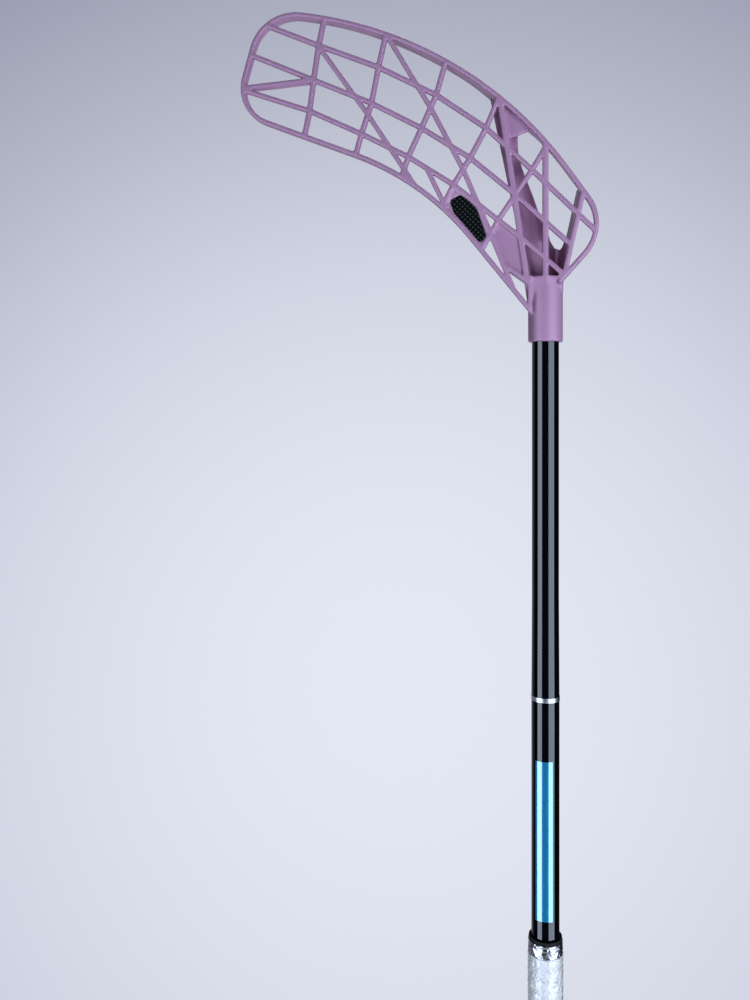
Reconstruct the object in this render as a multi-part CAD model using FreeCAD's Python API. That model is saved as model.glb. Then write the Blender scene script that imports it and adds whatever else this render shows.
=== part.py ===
import FreeCAD, Part

import math
import os

from FreeCAD import Vector

# Floorball stick, blade up: the shaft axis is Z, the butt rests on Z = 0, the tip points to -X
# and the playing face looks to -Y. All lengths are in millimetres.

# Shaft: a hollow tube, thin at the blade, with one short taper to the thicker grip end
shaft_length = 920.0
shaft_blade_diameter = 20.8
shaft_grip_diameter = 21.6
shaft_wall = 1.5
taper_gap = 5.0
taper_length = 74.0

# Fits: bond line between glued pieces, slack of a pushed-in piece, overrun of every cut
glue_gap = 0.1
foil_gap = 0.05
push_slack = 0.1
overrun = 5.0

# Blade socket
socket_length = 50.0
socket_wall = 2.5
shaft_setback = 2.0

# Blade outline: the reach to the tip, the heel behind the shaft and the rise above the socket
blade_reach = 241.0
heel_reach = 39.5
blade_rise = 213.0
throat_radius = 218.0
tip_lower_radius = 31.0
tip_upper_radius = 36.5
edge_radius = 312.0
heel_radius = 36.0
hook_depth = 12.0
hook_start = 20.0
front_proud = 0.8

# Blade walls
rim_width = 3.0
rim_depth = 8.0
rib_width = 3.1
rib_depth = 5.2
spine_width = 3.9
spine_wall_width = 3.4
wall_width = 2.6
rib_overlap = 0.7
least_cell_width = 1.2
least_edge = 0.001
shell_wall = 2.4
channel_depth = 25.0
channel_tuck = 0.7
side_wall_depth = 22.0
side_wall_lean = 4.0
brace_depth = 16.0
panel_thickness = 2.5
panel_recess = 2.5
foot_lap = 3.5
centre_fade = 7.0
spine_fade = 27.0
heel_fade = 12.0
fade_sink = 1.2
front_drop = 0.6

# Carbon insert and its seat
insert_thickness = 2.8
insert_recess = 1.4
seat_recess = 0.9
seat_floor = 1.6
seat_ledge = 3.0
insert_radius = 3.0

# Screws through the back of the socket
screw_radius = 1.5
screw_length = 7.0
screw_head_radius = 3.0
screw_head_height = 1.5
screw_sink = 0.3
drive_width = 0.8
drive_reach = 1.5
drive_depth = 0.9
screw_spacing = 20.0

# Foils on the shaft
band_gap = 47.0
band_height = 3.5
foil_thickness = 0.25
label_gap = 14.2
label_height = 123.0
label_start_angle = -43.0
label_end_angle = 30.0

# Grip
cap_flange = 3.0
cap_edge = 0.8
cap_stem_length = 30.0
cap_stem_wall = 2.0
cap_stem_slack = 0.4
cap_barb = 6.0
grip_length = 397.0
tape_thickness = 2.2
tape_turns = 10
tape_seam = 0.8
tape_end_height = 2.0
film_thickness = 0.3
finishing_height = 10.0
finishing_thickness = 2.0
collar_base_height = 1.4
collar_thickness = 1.9
collar_lip_height = 2.4
collar_lip_thickness = 0.6

# Levels and radii that follow from the sizes above
shaft_end = cap_flange + shaft_length
mouth = shaft_end + shaft_setback
blade_radius = shaft_blade_diameter / 2
grip_radius = shaft_grip_diameter / 2
tube_bore = blade_radius - shaft_wall
socket_bore = blade_radius + glue_gap
socket_radius = socket_bore + socket_wall
blade_front = -(socket_radius + front_proud)
bond_radius = grip_radius + glue_gap
tape_radius = bond_radius + tape_thickness
film_radius = tape_radius + glue_gap + film_thickness
wall_front = blade_front + rib_depth / 2
heel_end = heel_reach + 2 * overrun
tip_end = -(blade_reach + 2 * overrun)
grip_top = cap_flange + grip_length
collar_top = grip_top + finishing_height + collar_base_height + collar_lip_height
label_level = collar_top + label_gap
band_level = label_level + label_height + band_gap
taper_level = band_level + taper_gap
tape_pitch = (grip_length + tape_seam) / tape_turns
tape_width = tape_pitch - tape_seam

# Corners of the blade outline, as shares of the reach (or heel) and of the rise
throat_shares = (-0.395, 0.360)
tip_lower_shares = (-1.020, 0.635)
tip_upper_shares = (-0.926, 1.022)
edge_shares = (-0.246, 0.901)
heel_shares = (1.256, 0.170)
foot_share = 0.86
foot_drop_share = -0.136
heel_foot_share = 0.94
heel_foot_drop_share = -0.024

# Transverse ribs from the tip to the heel: rim, three crossings with the long ribs, rim
transverse_shares = (
    ((-0.716, 0.985), (-0.736, 0.876), (-0.753, 0.748), (-0.766, 0.633), (-0.787, 0.520)),
    ((-0.513, 0.910), (-0.538, 0.786), (-0.561, 0.654), (-0.594, 0.541), (-0.618, 0.445)),
    ((-0.316, 0.803), (-0.349, 0.673), (-0.397, 0.554), (-0.440, 0.450), (-0.471, 0.346)),
    ((-0.143, 0.665), (-0.188, 0.543), (-0.239, 0.437), (-0.293, 0.341), (-0.334, 0.250)),
    ((0.080, 0.487), (-0.042, 0.383), (-0.095, 0.296), (-0.149, 0.206), (-0.213, 0.080)),
)
long_tip_shares = ((-0.920, 0.963), (-0.980, 0.858), (-0.996, 0.722))
long_heel_shares = (
    ((0.580, 0.226), (0.950, 0.156)),
    ((0.000, 0.194), (0.483, 0.109)),
    ((-0.073, 0.136), (0.000, 0.061), (0.380, -0.002)),
)
side_top_share = (0.750, 0.325)
side_foot_share = (0.360, 0.000)
side_end_drop_share = -0.038
spine_top_share = (-0.146, 0.665)
centre_top_share = 0.487
tip_diagonal_shares = ((-0.993, 0.724), (-0.753, 0.748))
diagonal_shares = (
    ((-0.733, 0.868), (-0.574, 0.614), (-0.404, 0.318)),
    ((-0.504, 0.890), (-0.365, 0.623), (-0.261, 0.394), (-0.172, 0.154), (-0.104, -0.038)),
    ((-0.381, 0.407), (-0.318, 0.259)),
)
brace_top_share = (-0.135, 0.046)
brace_foot_share = -0.021
spine_foot_share = -1.110

# Channel behind the heel: its far end, and the edge of its back wall
channel_top_share = (-0.165, 0.800)
channel_radius_share = 0.66
channel_stub_share = 0.155
notch_shares = (
    (-0.070, 0.900), (-0.091, 0.537), (-0.086, 0.455), (-0.056, 0.354), (-0.020, 0.238),
    (0.071, 0.148), (0.273, 0.099), (0.380, 0.140), (0.500, 0.330),
)
web_shares = ((-0.148, 0.690), (-0.030, 0.610), (-0.056, 0.528), (-0.122, 0.505))
heel_web_shares = ((0.200, 0.000), (0.291, 0.000), (0.461, 0.141), (0.200, 0.141))

# Depth of the upper rim along the blade, in rim depths
flange_shares = ((0.500, 1.1), (-0.020, 1.6), (-0.130, 3.2), (-0.185, 2.6), (-0.320, 2.0), (-0.620, 1.5))

# Filled panel beside the spine, and the carbon insert with the cell that holds it
panel_shares = ((-0.172, 0.154), (-0.149, 0.206), (-0.073, 0.136), (-0.056, -0.021), (-0.135, 0.046))
seat_shares = ((-0.293, 0.341), (-0.225, 0.282), (-0.172, 0.154), (-0.211, 0.085), (-0.332, 0.254))
insert_shares = (
    (-0.308, 0.284), (-0.270, 0.304), (-0.243, 0.281), (-0.218, 0.251),
    (-0.186, 0.150), (-0.204, 0.117), (-0.293, 0.237),
)


def place(shares):
    along, up = shares
    reach = blade_reach if along < 0 else heel_reach
    return (along * reach, mouth + up * blade_rise)


def unit(dx, dz):
    size = math.hypot(dx, dz)
    return (dx / size, dz / size)


def inset(corners, distance):
    """Corners (x, z, radius) of the outline that runs inside the given one."""
    count = len(corners)
    following = corners[1:] + corners[:1]
    doubled_area = sum(a[0] * b[1] - b[0] * a[1] for a, b in zip(corners, following))
    side = 1 if doubled_area > 0 else -1
    moved = []
    for index, (x, z, radius) in enumerate(corners):
        before = corners[index - 1]
        after = corners[(index + 1) % count]
        d1 = unit(x - before[0], z - before[1])
        d2 = unit(after[0] - x, after[1] - z)
        n1 = (-d1[1] * side, d1[0] * side)
        n2 = (-d2[1] * side, d2[0] * side)
        reach = distance / (1 + n1[0] * n2[0] + n1[1] * n2[1])
        convex = (d1[0] * d2[1] - d1[1] * d2[0]) * side > 0
        kept = max(radius - distance, 0) if convex else radius + distance
        moved.append((x + (n1[0] + n2[0]) * reach, z + (n1[1] + n2[1]) * reach, kept if radius else 0))
    return moved


def rounded_face(corners):
    """Flat face in the blade plane, each corner rounded as far as its two edges allow."""
    count = len(corners)
    points = [Vector(x, 0, z) for x, z, radius in corners]
    lengths = [(points[i] - points[i - 1]).Length for i in range(count)]
    halves = []
    wanted = []
    for i, (x, z, radius) in enumerate(corners):
        half = (points[i - 1] - points[i]).getAngle(points[(i + 1) % count] - points[i]) / 2
        halves.append(half)
        wanted.append(radius / math.tan(half))
    edges = []
    ends = []
    for i in range(count):
        after = (i + 1) % count
        limit_before = lengths[i] / max(wanted[i] + wanted[i - 1], lengths[i])
        limit_after = lengths[after] / max(wanted[i] + wanted[after], lengths[after])
        run = wanted[i] * min(limit_before, limit_after)
        to_before = (points[i - 1] - points[i]).normalize()
        to_after = (points[after] - points[i]).normalize()
        radius = run * math.tan(halves[i])
        middle = (to_before + to_after).normalize() * (radius / math.sin(halves[i]) - radius)
        ends.append((points[i] + to_before * run, points[i] + to_after * run))
        if run > 0:
            edges.append(Part.Arc(ends[i][0], points[i] + middle, ends[i][1]).toShape())
    for i in range(count):
        start = ends[i][1]
        stop = ends[(i + 1) % count][0]
        if (stop - start).Length > least_edge:
            edges.append(Part.makeLine(start, stop))
    return Part.Face(Part.Wire(Part.__sortEdges__(edges)))


def plain_face(places):
    return rounded_face([(x, z, 0) for x, z in places])


def through(face, start, stop, lean=0):
    """Solid of a blade-plane face between two depths, leaning sideways on the way back."""
    moved = face.copy()
    moved.translate(Vector(0, start, 0))
    return moved.extrude(Vector(lean, stop - start, 0))


def bar_faces(places, width):
    """One rectangle for each straight run of a rib."""
    faces = []
    for (ax, az), (bx, bz) in zip(places, places[1:]):
        start = Vector(ax, 0, az)
        stop = Vector(bx, 0, bz)
        along = (stop - start).normalize()
        half = width / 2
        across = Vector(-along.z, 0, along.x) * half
        start = start - along * rib_overlap
        stop = stop + along * rib_overlap
        corners = [start + across, stop + across, stop - across, start - across, start + across]
        faces.append(Part.Face(Part.makePolygon(corners)))
    return faces


def front_at(x):
    """Depth of the playing face, which hooks forward along a circle towards the tip."""
    span = blade_reach - hook_start
    radius = (span * span + hook_depth * hook_depth) / (2 * hook_depth)
    run = max(-hook_start - x, 0)
    return blade_front - radius + math.sqrt(radius * radius - run * run)


def slab_end(x, depth):
    return Vector(x, front_at(x) + depth, mouth - socket_length - overrun)


def face_edges(depth):
    """Playing face as seen along the shaft, moved back: its straight and its hooked run."""
    middle = slab_end((tip_end - hook_start) / 2, depth)
    start = slab_end(-hook_start, depth)
    straight = Part.makeLine(slab_end(heel_end, depth), start)
    return [straight, Part.Arc(start, middle, slab_end(tip_end, depth)).toShape()]


def slab(back_edges, heel_depth, tip_depth):
    """Block between the playing face and the given edges behind it."""
    edges = face_edges(0) + back_edges
    edges.append(Part.makeLine(slab_end(heel_end, 0), slab_end(heel_end, heel_depth)))
    edges.append(Part.makeLine(slab_end(tip_end, 0), slab_end(tip_end, tip_depth)))
    height = socket_length + blade_rise * tip_upper_shares[1] + overrun * 2
    return Part.Face(Part.Wire(Part.__sortEdges__(edges))).extrude(Vector(0, 0, height))


def hooked_slab(depth):
    return slab(face_edges(depth), depth, depth)


def flange_slab():
    """Block whose back follows the depth of the upper rim, deepest where the channel ends."""
    stations = [(heel_end, 1)] + [(place((s, 0))[0], deep) for s, deep in flange_shares] + [(tip_end, 1)]
    curve = Part.BSplineCurve()
    curve.interpolate([slab_end(x, deep * rim_depth) for x, deep in stations])
    return slab([curve.toShape()], rim_depth, rim_depth)


def blade_corners():
    radii = (throat_radius, tip_lower_radius, tip_upper_radius, edge_radius, heel_radius)
    turns = (throat_shares, tip_lower_shares, tip_upper_shares, edge_shares, heel_shares)
    foot = (-foot_share * socket_radius, mouth + foot_drop_share * blade_rise, 0)
    heel_foot = (heel_foot_share * socket_radius, mouth + heel_foot_drop_share * blade_rise, 0)
    return [foot] + [place(turn) + (radius,) for turn, radius in zip(turns, radii)] + [heel_foot]


def spine_places():
    return [place(spine_top_share), (spine_foot_share * socket_radius, mouth)]


def side_places():
    end = (socket_bore, mouth + side_end_drop_share * blade_rise)
    return [place(side_top_share), place(side_foot_share), end]


def rib_lists():
    """Centre lines of the lattice ribs, grouped by their width."""
    thin = []
    for row in range(3):
        shares = [long_tip_shares[row]] + [rib[row + 1] for rib in transverse_shares]
        thin.append([place(s) for s in shares + list(long_heel_shares[row])])
    for shares in transverse_shares + diagonal_shares + (tip_diagonal_shares,):
        thin.append([place(s) for s in shares])
    thin += [brace_places(), side_places()]
    centre = [(0, mouth + centre_top_share * blade_rise), (0, mouth - overrun)]
    return thin, [spine_places(), centre]


def brace_places():
    return [place(brace_top_share), (-socket_radius, mouth + brace_foot_share * blade_rise)]


def lattice():
    """Rim and ribs: the outline with every cell between the ribs cut out."""
    corners = blade_corners()
    outline = rounded_face(corners)
    inside = rounded_face(inset(corners, rim_width))
    thin, thick = rib_lists()
    ribs = [face for rib in thin for face in bar_faces(rib, rib_width)]
    ribs += [face for rib in thick for face in bar_faces(rib, spine_width)]
    low = mouth - socket_length
    socket_foot = [(-socket_radius, low), (socket_radius, low)]
    socket_head = [(socket_radius, mouth), (-socket_radius, mouth)]
    ribs.append(plain_face(socket_foot + socket_head))
    cells = [c for c in inside.cut(ribs).Faces if 2 * c.Area / c.OuterWire.Length > least_cell_width]
    plate = outline.cut(cells)
    near = blade_front - hook_depth - overrun
    far = blade_front + rim_depth + overrun
    plate_solid = through(plate, near, far).common(hooked_slab(rib_depth))
    rim = outline.cut([inside])
    tip_rib = bar_faces([place(s) for s in tip_diagonal_shares], rib_width)
    upper = rim.common(above_ribs()).Faces
    lower = rim.cut([above_ribs()]).Faces
    deep = [through(face, near, far).common(hooked_slab(rim_depth)) for face in lower + tip_rib]
    deep += [through(face, near, blade_reach).common(flange_slab()) for face in upper]
    mouth_gap = Part.makeBox(
        2 * socket_bore, far - near + overrun, socket_length + overrun,
        Vector(-socket_bore, near, mouth - socket_length - overrun))
    return plate_solid.fuse(deep).cut(mouth_gap)


def above_ribs():
    """Part of the blade plane above the first long rib."""
    row = [long_tip_shares[0]] + [rib[1] for rib in transverse_shares] + list(long_heel_shares[0])
    edge = [place(s) for s in row]
    top = mouth + blade_rise + 2 * overrun
    heel_side = [(heel_end, edge[-1][1]), (heel_end, top)]
    tip_side = [(tip_end, top), (tip_end, edge[0][1])]
    return plain_face(edge + heel_side + tip_side)


def cylinder(radius, low, high):
    return Part.makeCylinder(radius, high - low, Vector(0, 0, low))


def channel_axis():
    x, z = place(channel_top_share)
    far_radius = channel_radius_share * socket_radius
    return Vector(x, blade_front + channel_depth - far_radius, z - mouth), far_radius


def leaning_cone(wall):
    """Cone that leans from the socket past the far edge of the blade, smaller by a wall."""
    axis, far_radius = channel_axis()
    start = Vector(0, 0, mouth - overrun)
    axis = axis + Vector(0, 0, overrun)
    near_radius = socket_radius - channel_tuck
    return Part.makeCone(near_radius - wall, far_radius - wall, axis.Length, start, axis)


def beside_spine():
    """Everything on the tip side of the spine, where the channel wall is solid."""
    top, foot = spine_places()
    low = mouth - socket_length
    high = mouth + 2 * blade_rise
    edge = [top, foot, (foot[0], low), (-blade_reach, low), (-blade_reach, high), (top[0], high)]
    return through(plain_face(edge), -blade_reach, blade_reach)


def channel():
    """Open-fronted back wall that carries the socket on into the blade."""
    axis = channel_axis()[0]
    outer = leaning_cone(0)
    inner = leaning_cone(shell_wall)
    stub_top = mouth + channel_stub_share * blade_rise
    outer = outer.fuse(cylinder(socket_radius, mouth - shell_wall, stub_top))
    inner = inner.fuse(cylinder(socket_bore, mouth - socket_length, stub_top - shell_wall))
    inner = inner.cut(beside_spine())
    wide = 2 * blade_reach
    low = mouth - socket_length
    high = mouth + 2 * blade_rise
    levels = [(0, low), (0, mouth), (axis.y, mouth + axis.z), (axis.y, high), (wide, high), (wide, low)]
    back_edge = [Vector(-blade_reach, depth, level) for depth, level in levels]
    behind = Part.Face(Part.makePolygon(back_edge + back_edge[:1])).extrude(Vector(wide, 0, 0))
    points = [Vector(x, 0, z) for x, z in (place(s) for s in notch_shares)]
    curve = Part.BSplineCurve()
    curve.interpolate(points)
    corner = Vector(2 * heel_reach, 0, points[0].z)
    rest = Part.makePolygon([points[-1], Vector(corner.x, 0, points[-1].z), corner, points[0]])
    notch = Part.Face(Part.Wire([curve.toShape()] + rest.Edges))
    notch = through(notch, -wide, wide)
    shell = outer.cut(inner).common(behind).cut(notch)
    spine = [through(face, wall_front, wide) for face in bar_faces(spine_places(), spine_wall_width)]
    inside_wall = leaning_cone(shell_wall / 2).fuse(cylinder(socket_radius - shell_wall / 2, mouth, stub_top))
    spine_wall = spine[0].fuse(spine[1:]).cut(behind.cut(inside_wall))
    web_back = blade_front + rim_depth
    web = through(plain_face([place(s) for s in web_shares]), web_back - shell_wall, web_back)
    heel_web = through(plain_face([place(s) for s in heel_web_shares]), 0, shell_wall).cut(notch)
    return [piece.common(below_edge()) for piece in (shell, spine_wall, web, heel_web)]


def below_edge():
    """Everything inside the middle of the rim, at any depth."""
    middle = rounded_face(inset(blade_corners(), rim_width / 2))
    return through(middle, blade_front - hook_depth, blade_reach)


def side_wall():
    faces = bar_faces(side_places(), wall_width)
    walls = [through(face, wall_front, blade_front + side_wall_depth, -side_wall_lean) for face in faces]
    return walls[0].fuse(walls[1:]).common(below_edge())


def fading_foot(low, high, front, top, length, sunk, back, lean=0):
    """Foot between two places across the socket, which runs on down it and sinks into its wall."""
    bend = min(top, mouth)
    levels = [(bend, front), (mouth - length, sunk), (mouth - length, back), (top, back)]
    if top > bend:
        levels.append((top, front))
    corners = [Vector(low + lean * (level - mouth), depth, level) for level, depth in levels]
    return Part.Face(Part.makePolygon(corners + corners[:1])).extrude(Vector(high - low, 0, 0))


def feet():
    """Feet of the centre rib, the spine and the heel rim, and the flat fronts between them."""
    skin = -(socket_bore + socket_wall / 2)
    top, foot = spine_places()
    lean = (top[0] - foot[0]) / (top[1] - foot[1])
    half = spine_width / 2
    left = foot[0] - half
    right = foot[0] + half
    side = (socket_bore + socket_radius) / 2
    heel_low = side - rim_width / 2
    heel_high = side + rim_width / 2
    spine_end = foot[0] - lean * spine_fade
    spine_sunk = fade_sink - math.sqrt(socket_radius ** 2 - spine_end ** 2)
    heel_sunk = fade_sink - math.sqrt(socket_radius ** 2 - side ** 2)
    heel_back = heel_sunk + shell_wall
    flat = blade_front + front_proud / 2
    rib_top = mouth + foot_lap
    flat_top = mouth - front_drop
    return [
        fading_foot(-half, half, blade_front, rib_top, centre_fade, -socket_radius, skin),
        fading_foot(left, right, blade_front, rib_top, spine_fade, spine_sunk, 0, lean),
        fading_foot(heel_low, heel_high, blade_front, rib_top, heel_fade, heel_sunk, heel_back),
        fading_foot(foot[0], half / 2, flat, flat_top, spine_fade, spine_sunk, 0, lean),
        fading_foot(-half / 2, side, flat, flat_top, heel_fade, heel_sunk, heel_back),
    ]


def insert_face(gap):
    corners = [place(s) + (insert_radius,) for s in insert_shares]
    return rounded_face(inset(corners, gap))


def seat_front():
    middle = sum(place(s)[0] for s in insert_shares) / len(insert_shares)
    return front_at(middle)


def insert_seat():
    """Web in one cell with a pocket for the insert and a window behind it."""
    front = seat_front()
    floor = front + insert_recess + insert_thickness + glue_gap
    web = through(plain_face([place(s) for s in seat_shares]), front + seat_recess, floor + seat_floor)
    pocket = through(insert_face(0), front - overrun, floor)
    window = through(insert_face(seat_ledge), front, floor + seat_floor + overrun)
    return web.common(below_edge()).cut(pocket).cut(window)


def panel():
    front = blade_front + panel_recess
    return through(plain_face([place(s) for s in panel_shares]), front, front + panel_thickness)


def screw_levels():
    middle = mouth - socket_length / 2
    return (middle - screw_spacing / 2, middle + screw_spacing / 2)


def screw_holes(slack):
    """Countersunk holes for the screws, which point to the shaft axis from the back."""
    holes = []
    for level in screw_levels():
        face = socket_radius - screw_sink
        start = Vector(0, face, level)
        shank = Part.makeCylinder(screw_radius + slack, screw_length + overrun, start, Vector(0, -1, 0))
        head = Part.makeCone(
            screw_head_radius + slack, screw_radius + slack, screw_head_height, start, Vector(0, -1, 0))
        lead = Part.makeCylinder(screw_head_radius + slack, overrun, start, Vector(0, 1, 0))
        holes += [shank, head, lead]
    return holes


def blade():
    socket = cylinder(socket_radius, mouth - socket_length, mouth)
    brace_back = blade_front + brace_depth
    brace = [through(face, wall_front, brace_back) for face in bar_faces(brace_places(), wall_width)]
    front = lattice().fuse([socket, side_wall(), insert_seat(), panel()] + feet() + brace)
    shell, *walls = channel()
    body = front.fuse(shell.fuse(walls))
    bore = cylinder(socket_bore, mouth - socket_length - overrun, mouth + shell_wall)
    return body.cut([bore] + screw_holes(glue_gap))


def blade_insert():
    front = seat_front() + insert_recess
    return through(insert_face(glue_gap), front, front + insert_thickness)


def blade_screws():
    screws = []
    for level in screw_levels():
        face = socket_radius - screw_sink
        profile = [
            (0, 0), (screw_head_radius, 0), (screw_radius, screw_head_height),
            (screw_radius, screw_length), (0, screw_length),
        ]
        points = [Vector(radius, face - depth, level) for radius, depth in profile]
        outline = Part.Face(Part.makePolygon(points + points[:1]))
        screw = outline.revolve(Vector(0, face, level), Vector(0, 1, 0), 360)
        for width, height in ((drive_width, 2 * drive_reach), (2 * drive_reach, drive_width)):
            corner = Vector(-width / 2, face - drive_depth, level - height / 2)
            screw = screw.cut(Part.makeBox(width, drive_depth + overrun, height, corner))
        screws.append(screw)
    return Part.makeCompound(screws)


def turned(profile):
    """Solid of revolution about the shaft axis from (radius, level) corners."""
    points = [Vector(radius, 0, level) for radius, level in profile]
    return Part.Face(Part.makePolygon(points + points[:1])).revolve(Vector(), Vector(0, 0, 1), 360)


def sleeve(inner, outer, low, high):
    return turned([(inner, low), (outer, low), (outer, high), (inner, high)])


def shaft_tube():
    taper_top = taper_level + taper_length
    tube = turned([
        (tube_bore, cap_flange), (grip_radius, cap_flange), (grip_radius, taper_level),
        (blade_radius, taper_top), (blade_radius, shaft_end), (tube_bore, shaft_end),
    ])
    return tube.cut(screw_holes(glue_gap))


def shaft_band():
    inner = grip_radius + foil_gap
    return sleeve(inner, inner + foil_thickness, band_level - band_height / 2, band_level + band_height / 2)


def shaft_label():
    inner = grip_radius + foil_gap
    outer = inner + foil_thickness
    low = label_level
    ring = [Vector(inner, 0, low), Vector(outer, 0, low)]
    ring += [Vector(outer, 0, low + label_height), Vector(inner, 0, low + label_height)]
    face = Part.Face(Part.makePolygon(ring + ring[:1]))
    face.rotate(Vector(), Vector(0, 0, 1), label_start_angle - 90)
    return face.revolve(Vector(), Vector(0, 0, 1), label_end_angle - label_start_angle)


def grip_collar():
    low = grip_top + finishing_height
    base = low + collar_base_height
    outer = bond_radius + collar_thickness
    inner = outer - collar_lip_thickness
    return turned([
        (bond_radius, low), (outer, low), (outer, collar_top), (inner, collar_top),
        (inner, base), (bond_radius, base),
    ])


def finishing_band():
    return sleeve(bond_radius, bond_radius + finishing_thickness, grip_top, grip_top + finishing_height)


def tape_edge(radius, level, start, stop):
    """Run of one flat edge of the tape between two turns."""
    return Part.makeCircle(radius, Vector(0, 0, level), Vector(0, 0, 1), 360 * start, 360 * stop)


def spiral_edge(radius, rise, start, stop):
    """Run of one rising edge of the tape between two turns."""
    edge = Part.makeHelix(tape_pitch, tape_pitch * (stop - start), radius)
    edge.rotate(Vector(), Vector(0, 0, 1), 360 * start)
    edge.translate(Vector(0, 0, cap_flange + rise + tape_pitch * start))
    return edge.Edges[0]


def grip_wrap():
    """One tape wound in a spiral up the shaft, its first and last turns cut square."""
    first = (tape_end_height - tape_width) / tape_pitch
    last = tape_turns - 1
    end = tape_turns - (tape_seam + tape_end_height) / tape_pitch
    turns = [first * (1 - quarter / 4) for quarter in range(4)]
    turns += [quarter / 4 for quarter in range(4 * last)]
    turns += [last + (end - last) * quarter / 4 for quarter in range(5)]
    faces = []
    for start, stop in zip(turns, turns[1:]):
        edges = []
        for radius in (bond_radius, tape_radius):
            low = tape_edge(radius, cap_flange, start, stop)
            high = tape_edge(radius, grip_top, start, stop)
            if stop > 0:
                low = spiral_edge(radius, 0, start, stop)
            if start < last:
                high = spiral_edge(radius, tape_width, start, stop)
            edges += [low, high]
        inner_low, inner_high, outer_low, outer_high = edges
        loop = [inner_low, outer_low, outer_high, inner_high, inner_low]
        faces += [Part.makeRuledSurface(a, b) for a, b in zip(loop, loop[1:])]
        if start == turns[0]:
            faces.append(end_face([edge.firstVertex().Point for edge in loop]))
    faces.append(end_face([edge.lastVertex().Point for edge in loop]))
    skin = Part.makeShell(faces)
    skin.sewShape()
    return Part.Solid(Part.Shell(skin.Faces))


def end_face(corners):
    return Part.Face(Part.makePolygon(corners))


def turn_gap():
    """Least distance between the upper edge of one turn and the lower edge of the next."""
    steps = 48
    angles = [2 * math.pi * step / steps for step in range(steps)]
    upper = [spiral_point(angle, tape_width) for angle in angles]
    lower = [spiral_point(angle, tape_pitch) for angle in angles]
    return min((a - b).Length for a in upper for b in lower)


def spiral_point(angle, rise):
    level = cap_flange + rise + tape_pitch * angle / (2 * math.pi)
    return Vector(tape_radius * math.cos(angle), tape_radius * math.sin(angle), level)


def grip_film():
    return sleeve(film_radius - film_thickness, film_radius, cap_flange, grip_top)


def end_cap():
    """Rubber cap: a flange under the grip and a barbed, hollow stem pushed into the shaft."""
    stem = tube_bore - push_slack
    core = stem - cap_stem_slack
    flange = film_radius - cap_edge
    profile = [(stem - cap_stem_wall, cap_flange / 2), (0, cap_flange / 2), (0, 0), (flange, 0)]
    profile += [(film_radius, cap_edge), (film_radius, cap_flange), (core, cap_flange)]
    top = cap_flange + cap_stem_length
    profile += [(core, top - cap_barb), (stem, top - cap_barb), (stem, top), (stem - cap_stem_wall, top)]
    return turned(profile)


nodes = {
    "blade": blade,
    "blade_insert": blade_insert,
    "blade_screws": blade_screws,
    "shaft_tube": shaft_tube,
    "shaft_band": shaft_band,
    "shaft_label": shaft_label,
    "grip_collar": grip_collar,
    "finishing_band": finishing_band,
    "grip_wrap": grip_wrap,
    "grip_film": grip_film,
    "end_cap": end_cap,
}

os.makedirs("parts", exist_ok=True)
for name, make in nodes.items():
    shape = make()
    shape.exportStep("parts/" + name + ".step")
    print(name, len(shape.Solids), "solids, volume", round(shape.Volume, 1), "valid", shape.isValid())
print("least gap between turns of the grip tape", round(turn_gap(), 2))
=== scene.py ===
import math

import bmesh
import bpy
from mathutils import Matrix, Vector, noise


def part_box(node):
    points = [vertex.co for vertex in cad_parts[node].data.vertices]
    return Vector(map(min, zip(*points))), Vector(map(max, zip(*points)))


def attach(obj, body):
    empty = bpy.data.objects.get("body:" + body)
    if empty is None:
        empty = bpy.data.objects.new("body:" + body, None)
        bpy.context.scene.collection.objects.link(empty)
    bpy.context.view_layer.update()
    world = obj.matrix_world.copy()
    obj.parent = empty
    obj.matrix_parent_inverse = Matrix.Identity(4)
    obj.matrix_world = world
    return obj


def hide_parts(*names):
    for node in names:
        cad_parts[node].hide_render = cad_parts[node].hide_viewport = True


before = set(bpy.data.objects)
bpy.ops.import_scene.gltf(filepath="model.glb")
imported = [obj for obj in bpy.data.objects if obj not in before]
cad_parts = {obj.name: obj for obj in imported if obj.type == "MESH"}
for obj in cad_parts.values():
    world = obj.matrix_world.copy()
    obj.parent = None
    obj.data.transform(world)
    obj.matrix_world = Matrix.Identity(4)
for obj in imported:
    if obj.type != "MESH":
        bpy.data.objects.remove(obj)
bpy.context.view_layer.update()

# Shaft: a hollow carbon tube, thinner at the blade, with one short taper to the thicker grip end.
# It is rolled over a mandrel, ground smooth and sprayed with black gloss lacquer.
MM = 0.001
MICRON_DIGITS = 3
TURN = 2 * math.pi
WELD = 0.0001
SHARP = math.radians(40)
SHAFT_STEPS = 96
BLADE_RADIUS = 10.4
TUBE_BORE = 8.9
TAPER_LOW = 603.0
TAPER_HIGH = 677.0


def rise(node):
    """Lowest and highest level of a solid, in mm, to the micrometre."""
    low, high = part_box(node)
    return round(low.z / MM, MICRON_DIGITS), round(high.z / MM, MICRON_DIGITS)


def reach(node):
    """Outer radius of a round solid about the shaft axis, in mm, to the micrometre."""
    low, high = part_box(node)
    return round(max(high.x, high.y, -low.x, -low.y) / MM, MICRON_DIGITS)


def turned(profile):
    """Spins a closed profile of (radius, level) corners, in mm, about the shaft axis."""
    bm = bmesh.new()
    corners = [bm.verts.new((radius * MM, 0, level * MM)) for radius, level in profile]
    edges = [bm.edges.new(pair) for pair in zip(corners, corners[1:] + corners[:1])]
    bmesh.ops.spin(
        bm, geom=corners + edges, cent=(0, 0, 0), axis=(0, 0, 1), angle=TURN, steps=SHAFT_STEPS,
        use_merge=True)
    return bm


def finish(name, sockets):
    """Material whose shader has the given sockets set."""
    material = bpy.data.materials.new(name)
    material.use_nodes = True
    for socket, value in sockets.items():
        material.node_tree.nodes["Principled BSDF"].inputs[socket].default_value = value
    return material


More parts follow.
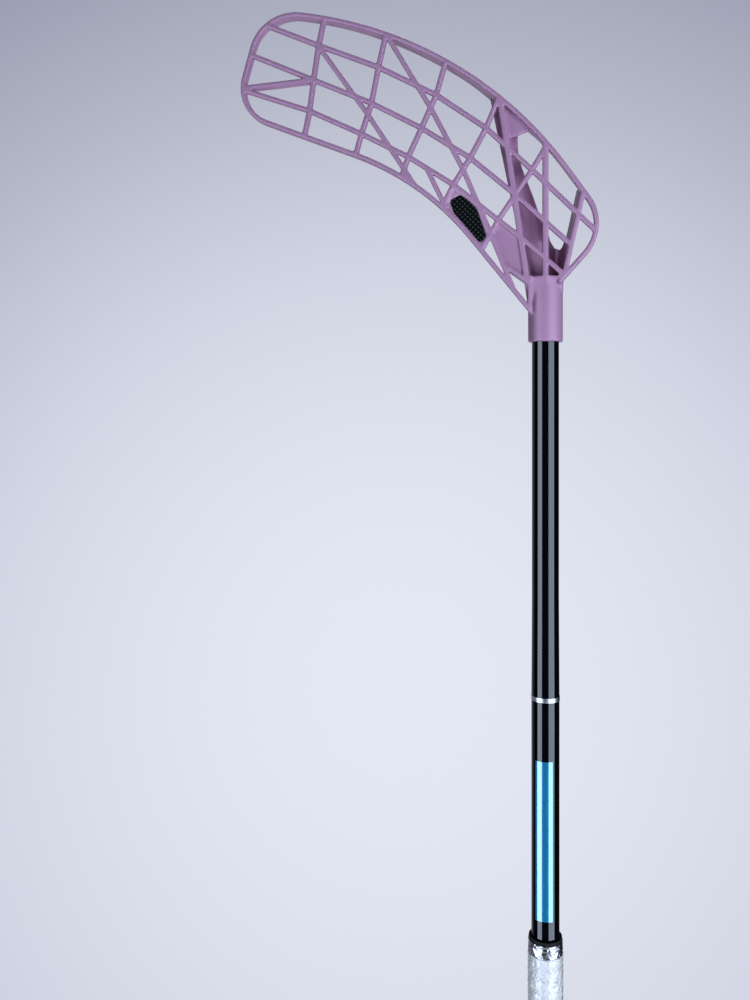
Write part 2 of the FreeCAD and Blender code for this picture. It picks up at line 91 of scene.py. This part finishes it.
def add(material, kind, values=None, links=None, **settings):
    """New node with its settings, its socket values and its incoming links."""
    node = material.node_tree.nodes.new(kind)
    for key, value in settings.items():
        setattr(node, key, value)
    for socket, value in (values or {}).items():
        node.inputs[socket].default_value = value
    for socket, source in (links or {}).items():
        material.node_tree.links.new(source, node.inputs[socket])
    return node


def feed(material, socket, source):
    """Drives a socket of the material's shader with a pattern."""
    shader = material.node_tree.nodes["Principled BSDF"]
    material.node_tree.links.new(source, shader.inputs[socket])


def laid_out(material, stretch=(1, 1, 1), turn=(0, 0, 0)):
    """Object coordinates, stretched and turned for a pattern."""
    place = add(material, "ShaderNodeTexCoord")
    return add(
        material, "ShaderNodeMapping", {"Scale": stretch, "Rotation": turn},
        {"Vector": place.outputs["Object"]}).outputs["Vector"]


def grain(material, scale, detail, stretch=(1, 1, 1)):
    """Cloudy pattern, from 0 to 1."""
    return add(
        material, "ShaderNodeTexNoise", {"Scale": scale, "Detail": detail},
        {"Vector": laid_out(material, stretch)}).outputs["Fac"]


def grey(level):
    """Grey tone for a ramp, from 0 to 1."""
    return (level, level, level, 1)


def ramp(material, source, low, high, start=0.3, stop=0.7):
    """Colour that runs from one tone to another while a pattern grows from start to stop."""
    node = add(material, "ShaderNodeValToRGB", links={"Fac": source})
    for element, position, tone in zip(node.color_ramp.elements, (start, stop), (low, high)):
        element.position = position
        element.color = tone
    return node.outputs["Color"]


def rough(material, source, low, high, stop=0.7):
    """Roughness that runs from one level to another with a pattern."""
    feed(material, "Roughness", ramp(material, source, grey(low), grey(high), stop=stop))


def relief(material, source, strength, depth):
    """Fine bumps, depth mm high, that follow a pattern."""
    bump = add(
        material, "ShaderNodeBump", {"Strength": strength, "Distance": depth * MM}, {"Height": source})
    feed(material, "Normal", bump.outputs["Normal"])


def show(name, mesh, material, slot, *nodes):
    """Puts a finished mesh on the stick in place of its plain solids."""
    mesh.shade_smooth()
    mesh.materials.clear()
    mesh.materials.append(material)
    piece = bpy.data.objects.new(name, mesh)
    bpy.context.scene.collection.objects.link(piece)
    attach(piece, "root")
    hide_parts(*nodes)
    return piece


def set_on(name, bm, material, slot, *nodes, sharp=SHARP):
    """Closes a modelled shape, shows it and keeps its edges sharp from an angle on."""
    bmesh.ops.remove_doubles(bm, verts=bm.verts, dist=WELD * MM)
    bmesh.ops.delete(bm, geom=[edge for edge in bm.edges if edge.is_wire], context="EDGES")
    bmesh.ops.recalc_face_normals(bm, faces=bm.faces)
    mesh = bpy.data.meshes.new(name)
    bm.to_mesh(mesh)
    bm.free()
    piece = show(name, mesh, material, slot, *nodes)
    mesh.set_sharp_from_angle(angle=sharp)
    return piece


lacquer = finish("black_lacquer", {"Base Color": (0.002, 0.002, 0.003, 1), "Specular IOR Level": 1.0})
streaks = grain(lacquer, scale=1.0, detail=3.0, stretch=(900, 900, 12))
rough(lacquer, streaks, low=0.05, high=0.09, stop=0.75)
orange_peel = grain(lacquer, scale=160.0, detail=1.0)
relief(lacquer, orange_peel, strength=0.04, depth=0.05)

grip_radius = reach("shaft_tube")
tube_low, tube_high = rise("shaft_tube")
set_on("shaft", turned([
    (TUBE_BORE, tube_low), (grip_radius, tube_low), (grip_radius, TAPER_LOW), (BLADE_RADIUS, TAPER_HIGH),
    (BLADE_RADIUS, tube_high), (TUBE_BORE, tube_high),
]), lacquer, "shaft", "shaft_tube")

# Ring: a narrow bright foil strip that marks the foot of the taper.
# It is stuck round the shaft before the clear coat.
FOIL_GAP = 0.05
FOIL_THICKNESS = 0.25
RING_EDGE = 0.1
ROUND_STEPS = 3


def modify(piece, name, kind, **settings):
    """Adds a modifier with its settings."""
    modifier = piece.modifiers.new(name, kind)
    for key, value in settings.items():
        setattr(modifier, key, value)


def soften(piece, width):
    """Rounds the sharp edges of a piece."""
    modify(
        piece, "rounded_edges", "BEVEL", width=width * MM, segments=ROUND_STEPS, limit_method="ANGLE",
        angle_limit=SHARP)


bright = finish("bright_foil", {"Base Color": (0.86, 0.86, 0.9, 1), "Metallic": 1.0})
rolled = grain(bright, scale=1.0, detail=2.0, stretch=(60, 60, 2500))
rough(bright, rolled, low=0.28, high=0.4)

foil_bore = grip_radius + FOIL_GAP
foil_radius = foil_bore + FOIL_THICKNESS
ring_low, ring_high = rise("shaft_band")
ring = set_on("shaft_ring", turned([
    (foil_bore, ring_low), (foil_radius, ring_low), (foil_radius, ring_high), (foil_bore, ring_high),
]), bright, "bright_foil", "shaft_band")
soften(ring, RING_EDGE)

# Label: a rectangle of metallic blue foil on the front of the shaft, left without print.
# Brushed along the shaft, it catches the light in two pale strips.
LABEL_START = math.radians(-133.0)
LABEL_SWEEP = math.radians(73.0)
LABEL_STEPS = 24
DEEP_BLUE = (0.022, 0.36, 0.66, 1)
PALE_BLUE = (0.038, 0.44, 0.78, 1)

blue_foil = finish("blue_foil", {
    "Metallic": 0.6, "Coat Weight": 1.0, "Coat Roughness": 0.12, "Coat IOR": 2.8})
brushed = grain(blue_foil, scale=1.0, detail=4.0, stretch=(2200, 2200, 40))
feed(blue_foil, "Base Color", ramp(blue_foil, brushed, DEEP_BLUE, PALE_BLUE))
rough(blue_foil, brushed, low=0.2, high=0.28)
relief(blue_foil, brushed, strength=0.06, depth=0.02)

label_low, label_high = rise("shaft_label")
strip = bmesh.new()
end = strip.faces.new([strip.verts.new((radius * MM, 0, level * MM)) for radius, level in (
    (foil_bore, label_low), (foil_radius, label_low), (foil_radius, label_high), (foil_bore, label_high))])
bmesh.ops.rotate(strip, verts=strip.verts, cent=(0, 0, 0), matrix=Matrix.Rotation(LABEL_START, 3, "Z"))
bmesh.ops.spin(
    strip, geom=[end], cent=(0, 0, 0), axis=(0, 0, 1), angle=LABEL_SWEEP, steps=LABEL_STEPS)
set_on("shaft_label_foil", strip, blue_foil, "label_foil", "shaft_label")

# Blade: one moulding of mauve plastic, an open lattice with a deep channel behind its heel.
# Every edge of the mould is rounded, so the ribs catch the light along their middles,
# and the ends of the ribs are trimmed flush with the rim at the tip.
CAD_WELD = 0.001
TIP_EDGE = -239.4
MOULD_VOXEL = 0.5
MOULD_SMOOTHING = 0.5
MOULD_ROUNDING = 24
MOULD_SWELL = 0.38
MOULD_SHARE = 0.27
DEEP_MAUVE = (0.39, 0.206, 0.32, 1)
PALE_MAUVE = (0.42, 0.222, 0.345, 1)


def solid_copy(node):
    """Copy of a solid's mesh, with its loose triangles joined."""
    bm = bmesh.new()
    bm.from_mesh(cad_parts[node].data)
    bmesh.ops.remove_doubles(bm, verts=bm.verts, dist=CAD_WELD * MM)
    return bm


plastic = finish("mauve_plastic", {"Specular IOR Level": 0.5})
cloud = grain(plastic, scale=45.0, detail=3.0)
feed(plastic, "Base Color", ramp(plastic, cloud, DEEP_MAUVE, PALE_MAUVE, stop=0.72))
spark = grain(plastic, scale=1400.0, detail=1.0)
rough(plastic, spark, low=0.36, high=0.42)
relief(plastic, spark, strength=0.05, depth=0.03)

cast = solid_copy("blade")
for vertex in cast.verts:
    vertex.co.x = max(vertex.co.x, TIP_EDGE * MM)
core = bpy.data.meshes.new("blade_core")
cast.to_mesh(core)
cast.free()
mould = bpy.data.objects.new("blade_mould", core)
bpy.context.scene.collection.objects.link(mould)
modify(mould, "even_skin", "REMESH", mode="VOXEL", voxel_size=MOULD_VOXEL * MM)
modify(mould, "rounded_edges", "SMOOTH", factor=MOULD_SMOOTHING, iterations=MOULD_ROUNDING)
modify(mould, "full_edges", "DISPLACE", strength=MOULD_SWELL * MM, mid_level=0.0)
modify(mould, "fewer_facets", "DECIMATE", ratio=MOULD_SHARE)
skin = bpy.data.meshes.new_from_object(mould.evaluated_get(bpy.context.evaluated_depsgraph_get()))
bpy.data.objects.remove(mould)
show("blade_moulding", skin, plastic, "blade_plastic", "blade")

# Insert: a small plate of woven carbon, glued into a pocket of the blade beside the spine.
# Its clear resin face shows the weave as rows of grey dots on black; the grey dots are painted highlights
# of the tows.
WEAVE_PITCH = 2.9
WEAVE_TURN = math.radians(45)
INSERT_FLAT = math.radians(2)
INSERT_EDGE = 0.4
CARBON_BLACK = (0.004, 0.005, 0.005, 1)
# The grey tone below is a painted highlight of the tows, not a colour of the carbon.
CARBON_PAINTED_GLINT = (0.055, 0.068, 0.058, 1)

carbon = finish("woven_carbon", {"Roughness": 0.22, "Specular IOR Level": 0.45})
# The wave node draws one band in every pi / (10 * scale) of length.
weave_scale = math.pi / (10 * WEAVE_PITCH * MM)
tows = [
    add(
        carbon, "ShaderNodeTexWave", {"Scale": weave_scale},
        {"Vector": laid_out(carbon, turn=(0, turn, 0))}, bands_direction="X", wave_profile="SIN")
    for turn in (WEAVE_TURN, -WEAVE_TURN)
]
weave_and_glint = add(
    carbon, "ShaderNodeMath", links={index: tow.outputs["Fac"] for index, tow in enumerate(tows)},
    operation="MULTIPLY").outputs["Value"]
# Painted highlight: the base colour runs from black to grey where the tows cross, in place of their
# glints; the same pattern also gives the weave its relief.
feed(carbon, "Base Color", ramp(carbon, weave_and_glint, CARBON_BLACK, CARBON_PAINTED_GLINT, start=0.45, stop=0.95))
relief(carbon, weave_and_glint, strength=0.15, depth=0.1)

plate = solid_copy("blade_insert")
bmesh.ops.dissolve_limit(plate, angle_limit=INSERT_FLAT, verts=plate.verts, edges=plate.edges)
insert = set_on("carbon_insert", plate, carbon, "carbon", "blade_insert")
soften(insert, INSERT_EDGE)

# Screws: two small countersunk steel screws through the back of the socket into the shaft.
# Their solids are shown as they are, in turned steel.
steel = finish("screw_steel", {"Base Color": (0.55, 0.55, 0.57, 1), "Metallic": 1.0})
turning = grain(steel, scale=1800.0, detail=2.0)
rough(steel, turning, low=0.22, high=0.42)
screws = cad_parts["blade_screws"]
screws.data.materials.clear()
screws.data.materials.append(steel)

# End cap: a rubber plug pushed into the butt of the shaft, with a flange that covers the grip's end.
# Its hollow stem is a little loose in the tube, and a barb at the top holds it.
CAP_CHAMFER = 0.8
CAP_STEM = 8.4
CAP_BARB = 8.8
CAP_HOLLOW = 6.8
CAP_FLOOR = 1.5
CAP_BARB_LOW = 27.0
CAP_EDGE = 0.15

rubber = finish("black_rubber", {"Base Color": (0.008, 0.008, 0.009, 1), "Specular IOR Level": 0.2})
pores = grain(rubber, scale=1500.0, detail=3.0)
rough(rubber, pores, low=0.5, high=0.75)
relief(rubber, pores, strength=0.2, depth=0.05)

cap_radius = reach("end_cap")
cap_low, cap_top = rise("end_cap")
cap = set_on("butt_cap", turned([
    (0, cap_low + CAP_FLOOR), (0, cap_low), (cap_radius - CAP_CHAMFER, cap_low),
    (cap_radius, cap_low + CAP_CHAMFER), (cap_radius, tube_low), (CAP_STEM, tube_low),
    (CAP_STEM, CAP_BARB_LOW), (CAP_BARB, CAP_BARB_LOW), (CAP_BARB, cap_top), (CAP_HOLLOW, cap_top),
    (CAP_HOLLOW, cap_low + CAP_FLOOR),
]), rubber, "black_rubber", "end_cap")
soften(cap, CAP_EDGE)

# Grip tape: one strip of soft, perforated tape wound ten turns up the shaft.
# Its crowned face leaves a groove along the seam of the turns, and the crown's corners are
# shares of the tape's width and thickness.
BOND_GAP = 0.1
TAPE_RADIUS = 13.0
TAPE_TURNS = 10
TAPE_SEAM = 0.8
TURN_STEPS = 48
TAPE_CROWN = (
    (0.0, 0.0), (0.0, 0.65), (0.03, 0.9), (0.1, 1.0), (0.9, 1.0), (0.97, 0.9), (1.0, 0.65), (1.0, 0.0))
HOLE_GREY = (0.6, 0.57, 0.58, 1)
TAPE_WHITE = (0.9, 0.86, 0.84, 1)

soft_tape = finish("grip_tape", {"Roughness": 0.7, "Sheen Weight": 0.2})
holes = add(
    soft_tape, "ShaderNodeTexVoronoi", {"Scale": 380.0, "Randomness": 0.15},
    {"Vector": laid_out(soft_tape)}).outputs["Distance"]
feed(soft_tape, "Base Color", ramp(soft_tape, holes, HOLE_GREY, TAPE_WHITE, start=0.1, stop=0.3))
relief(soft_tape, holes, strength=0.5, depth=0.2)

bond_radius = grip_radius + BOND_GAP
grip_low, grip_high = rise("grip_wrap")
tape_pitch = (grip_high - grip_low + TAPE_SEAM) / TAPE_TURNS
tape_width = tape_pitch - TAPE_SEAM
wound = bmesh.new()
outline = []
for along, out in TAPE_CROWN:
    radius = bond_radius + out * (TAPE_RADIUS - bond_radius)
    level = grip_low - tape_pitch + along * tape_width
    outline.append(wound.verts.new((radius * MM, 0, level * MM)))
edges = [wound.edges.new(pair) for pair in zip(outline, outline[1:] + outline[:1])]
# One turn more than the tape has is spun, and both ends are then cut level with the grip.
spun_turns = TAPE_TURNS + 1
bmesh.ops.spin(
    wound, geom=outline + edges, cent=(0, 0, 0), axis=(0, 0, 1), angle=TURN * spun_turns,
    steps=TURN_STEPS * spun_turns, dvec=(0, 0, tape_pitch * MM / TURN_STEPS))
for level, normal in ((grip_low, -1), (grip_high, 1)):
    cut = bmesh.ops.bisect_plane(
        wound, geom=wound.verts[:] + wound.edges[:] + wound.faces[:], plane_co=(0, 0, level * MM),
        plane_no=(0, 0, normal), clear_outer=True)
    open_edges = [item for item in cut["geom_cut"] if isinstance(item, bmesh.types.BMEdge)]
    bmesh.ops.holes_fill(wound, edges=open_edges)
bmesh.ops.holes_fill(wound, edges=[edge for edge in wound.edges if edge.is_boundary])
set_on("grip_tape", wound, soft_tape, "grip_tape", "grip_wrap")

# Film: the clear wrapper that the new grip is sold in, a thin sleeve shrunk over the tape.
# It is creased all over, and its creases glint white.
FILM_RADIUS = 13.1
FILM_THICKNESS = 0.08
FILM_COLUMNS = 84
FILM_ROWS = 330
FILM_SHARP = math.radians(25)
CREASE_SIZE = 4.0
CREASE_DEPTH = 0.8
FINE_RATE = 2.3
FINE_OFFSET = Vector((7, 3, 1))
FINE_REACH = 0.5
FINE_SHARE = 0.4

film_skin = finish("clear_film", {
    "Base Color": (0.99, 0.96, 0.94, 1), "Roughness": 0.16, "Alpha": 0.7, "Specular IOR Level": 1.0,
    "Coat Weight": 1.0, "Coat Roughness": 0.06, "Coat IOR": 1.9})
glint = add(
    film_skin, "ShaderNodeTexNoise", {"Scale": 260.0, "Detail": 2.0, "Distortion": 1.2},
    {"Vector": laid_out(film_skin)}, noise_type="RIDGED_MULTIFRACTAL").outputs["Fac"]
relief(film_skin, glint, strength=1.0, depth=1.6)


def crease(point, size):
    """Height of a crumpled sheet at a point, from 0 to about 1: broad dents with fine ridges on them."""
    scaled = point / (size * MM)
    ridge = 1 - abs(noise.noise(scaled * FINE_RATE + FINE_OFFSET)) / FINE_REACH
    return abs(noise.noise(scaled)) + FINE_SHARE * max(ridge, 0)


def crumple(bm, bore, size, depth):
    """Pushes the skin of a round shape outwards into creases, apart from its bore."""
    for vertex in bm.verts:
        out = Vector((vertex.co.x, vertex.co.y, 0))
        if out.length > bore * MM:
            vertex.co += out.normalized() * depth * MM * crease(vertex.co, size)


sleeve = bmesh.new()
ends = [sleeve.verts.new((FILM_RADIUS * MM, 0, level * MM)) for level in (grip_low, grip_high)]
seam = sleeve.edges.new(ends)
bmesh.ops.subdivide_edges(sleeve, edges=[seam], cuts=FILM_ROWS)
bmesh.ops.spin(
    sleeve, geom=sleeve.verts[:] + sleeve.edges[:], cent=(0, 0, 0), axis=(0, 0, 1), angle=TURN,
    steps=FILM_COLUMNS, use_merge=True)
crumple(sleeve, bond_radius, CREASE_SIZE, CREASE_DEPTH)
film = set_on("grip_wrapper", sleeve, film_skin, "clear_film", "grip_film", sharp=FILM_SHARP)
modify(film, "gauge", "SOLIDIFY", thickness=FILM_THICKNESS * MM, offset=-1)

# Finishing band: a strip of silver tape wound over the top of the grip.
# It was crushed as it was pulled tight, so it glitters in patches.
BAND_RADIUS = 12.9
BAND_ROWS = 14
CRUSH_SIZE = 2.6
CRUSH_DEPTH = 0.75

silver = finish("silver_tape", {"Base Color": (0.7, 0.7, 0.75, 1), "Metallic": 1.0})
crinkle = grain(silver, scale=500.0, detail=3.0)
rough(silver, crinkle, low=0.2, high=0.32)
relief(silver, crinkle, strength=0.5, depth=0.5)

band_low, band_high = rise("finishing_band")
levels = [band_low + (band_high - band_low) * row / BAND_ROWS for row in range(BAND_ROWS + 1)]
band = turned(
    [(bond_radius, band_low)] + [(BAND_RADIUS, level) for level in levels] + [(bond_radius, band_high)])
crumple(band, (bond_radius + BAND_RADIUS) / 2, CRUSH_SIZE, CRUSH_DEPTH)
set_on("finishing_tape", band, silver, "silver_tape", "finishing_band")

# Collar: a black rubber ring that covers the end of the finishing tape.
# A thin lip stands up round the shaft at its outer edge.
COLLAR_LIP_THICKNESS = 0.6
COLLAR_BASE_HEIGHT = 1.2
COLLAR_LIP_HEIGHT = 1.6
COLLAR_EDGE = 0.15

collar_radius = reach("grip_collar")
collar_lip = collar_radius - COLLAR_LIP_THICKNESS
collar_base = band_high + COLLAR_BASE_HEIGHT
collar_high = collar_base + COLLAR_LIP_HEIGHT
collar = set_on("grip_collar_ring", turned([
    (bond_radius, band_high), (collar_radius, band_high), (collar_radius, collar_high),
    (collar_lip, collar_high), (collar_lip, collar_base), (bond_radius, collar_base),
]), rubber, "black_rubber", "grip_collar")
soften(collar, COLLAR_EDGE)

# Studio: a pale floor that fades out round the butt, before a soft grey-lavender backdrop from the world.
# The backdrop's tones run from its dim far side to a bright spot behind the stick.
# Two tall strips draw the pale lines on lacquer and foil, and four soft boxes light everything else.
FLOOR_RADIUS = 0.6
FLOOR_STEPS = 96
BACKDROP_SPOT = (-0.146, 0.951, -0.271)
BACKDROP_SIDE = (-0.4, 0.917, 0.0)
BACKDROP_TONES = (
    (0.2, (0.55, 0.57, 0.66, 1)), (0.70, (0.31, 0.325, 0.425, 1)), (0.815, (0.47, 0.487, 0.583, 1)),
    (0.91, (0.64, 0.66, 0.765, 1)), (1.0, (0.776, 0.808, 0.905, 1)),
)
UPWARDS = (0.0, 0.0, 1.0)
MIRROR_LIGHT = 0.6
ROOM_LIGHT = 0.03
FLOOR_LIGHT = 0.18
LAMP_COLOUR = (0.71, 0.84, 1.06)
LAMP_DISTANCE = 1.2

ground = bmesh.new()
bmesh.ops.create_circle(ground, cap_ends=True, radius=FLOOR_RADIUS, segments=FLOOR_STEPS)
floor_mesh = bpy.data.meshes.new("floor")
ground.to_mesh(floor_mesh)
ground.free()
floor = bpy.data.objects.new("floor", floor_mesh)
bpy.context.scene.collection.objects.link(floor)
paper = finish("pale_floor", {
    "Base Color": (0.74, 0.66, 0.6, 1), "Roughness": 0.9, "Emission Color": (0.68, 0.65, 0.66, 1),
    "Emission Strength": 0.12})
nearness = add(
    paper, "ShaderNodeTexGradient", links={"Vector": laid_out(paper, (1 / FLOOR_RADIUS,) * 3)},
    gradient_type="SPHERICAL").outputs["Fac"]
feed(paper, "Alpha", ramp(paper, nearness, grey(0), grey(1), start=0.02, stop=0.6))
floor_mesh.materials.append(paper)

world = bpy.data.worlds.new("studio")
bpy.context.scene.world = world
world.use_nodes = True
tree = world.node_tree
backdrop = tree.nodes["Background"]
direction = tree.nodes.new("ShaderNodeTexCoord").outputs["Generated"]


def facing(axis):
    """World value that grows to 1 as a ray turns towards an axis."""
    node = tree.nodes.new("ShaderNodeVectorMath")
    node.operation = "DOT_PRODUCT"
    node.inputs[1].default_value = axis
    tree.links.new(direction, node.inputs[0])
    return node.outputs["Value"]


def joined(operation, first, second):
    """World value worked out from two others."""
    node = tree.nodes.new("ShaderNodeMath")
    node.operation = operation
    for socket, value in zip(node.inputs, (first, second)):
        tree.links.new(value, socket)
    return node.outputs["Value"]


def spread(value, start, stop, low, high):
    """World value that eases from low to high while another grows from start to stop."""
    node = tree.nodes.new("ShaderNodeMapRange")
    node.interpolation_type = "SMOOTHSTEP"
    for socket, setting in (("From Min", start), ("From Max", stop), ("To Min", low), ("To Max", high)):
        node.inputs[socket].default_value = setting
    tree.links.new(value, node.inputs["Value"])
    return node.outputs["Result"]


tones = tree.nodes.new("ShaderNodeValToRGB")
while len(tones.color_ramp.elements) < len(BACKDROP_TONES):
    tones.color_ramp.elements.new(0.5)
for element, (position, colour) in zip(tones.color_ramp.elements, BACKDROP_TONES):
    element.position = position
    element.color = colour
tree.links.new(facing(BACKDROP_SPOT), tones.inputs["Fac"])
tree.links.new(tones.outputs["Color"], backdrop.inputs["Color"])

rays = tree.nodes.new("ShaderNodeLightPath").outputs
mirror_light = spread(facing(BACKDROP_SIDE), start=0.45, stop=0.95, low=0.0, high=MIRROR_LIGHT)
bounce_light = spread(facing(UPWARDS), start=-0.4, stop=0.3, low=FLOOR_LIGHT, high=ROOM_LIGHT)
seen = joined("MAXIMUM", rays["Is Camera Ray"], rays["Is Transmission Ray"])
mirrored = joined("MULTIPLY", rays["Is Glossy Ray"], mirror_light)
bounced = joined("MULTIPLY", rays["Is Diffuse Ray"], bounce_light)
strength = joined("MAXIMUM", joined("MAXIMUM", seen, mirrored), bounced)
tree.links.new(strength, backdrop.inputs["Strength"])


def soft_box(name, azimuth, width, low, high, power, distance=LAMP_DISTANCE, lean=0.0):
    """Tall area light that faces the shaft from an azimuth, measured from the -Y axis, and leans down."""
    lamp = bpy.data.lights.new(name, "AREA")
    lamp.shape = "RECTANGLE"
    lamp.size = width
    lamp.size_y = high - low
    lamp.energy = power
    lamp.color = LAMP_COLOUR
    box = bpy.data.objects.new(name, lamp)
    bpy.context.scene.collection.objects.link(box)
    angle = math.radians(azimuth)
    box.location = (math.sin(angle) * distance, -math.cos(angle) * distance, (low + high) / 2)
    box.rotation_euler = (math.pi / 2 - math.radians(lean), 0, angle)
    box.visible_camera = False
    return box


for gloss_strip in (
        soft_box("left_strip", azimuth=-48.0, width=0.826, low=-0.5, high=1.25, power=14.2),
        soft_box("right_strip", azimuth=52.3, width=1.155, low=-0.5, high=1.25, power=18.3)):
    gloss_strip.visible_diffuse = False
for fill in (
        soft_box("front_box", azimuth=36.0, width=0.6, low=0.15, high=1.15, power=20.5),
        soft_box("low_left_box", azimuth=-55.0, width=0.6, low=-0.2, high=0.5, power=8.0),
        soft_box("back_box", azimuth=180.0, width=0.7, low=0.0, high=1.3, power=16.0),
        soft_box(
            "top_box", azimuth=180.0, width=1.0, low=1.6, high=2.4, power=14.0, distance=0.9, lean=50.0)):
    fill.visible_glossy = False

# Camera: a little below the blade, level, and turned a little to the left of the shaft.
# A lens shift brings the view down to the grip, as the photograph was taken.
CAMERA_PLACE = (0.0, -0.745, 0.8179)
CAMERA_TURN = math.radians(10.275)
CAMERA_LENS = 33.84
CAMERA_SENSOR = 36.0
CAMERA_SHIFT = -0.085

camera = bpy.data.objects.new("camera", bpy.data.cameras.new("camera"))
camera.data.lens = CAMERA_LENS
camera.data.sensor_width = CAMERA_SENSOR
camera.data.shift_y = CAMERA_SHIFT
camera.location = CAMERA_PLACE
camera.rotation_euler = (math.pi / 2, 0, CAMERA_TURN)
bpy.context.scene.collection.objects.link(camera)
bpy.context.scene.camera = camera
bpy.context.scene.view_settings.view_transform = "Standard"
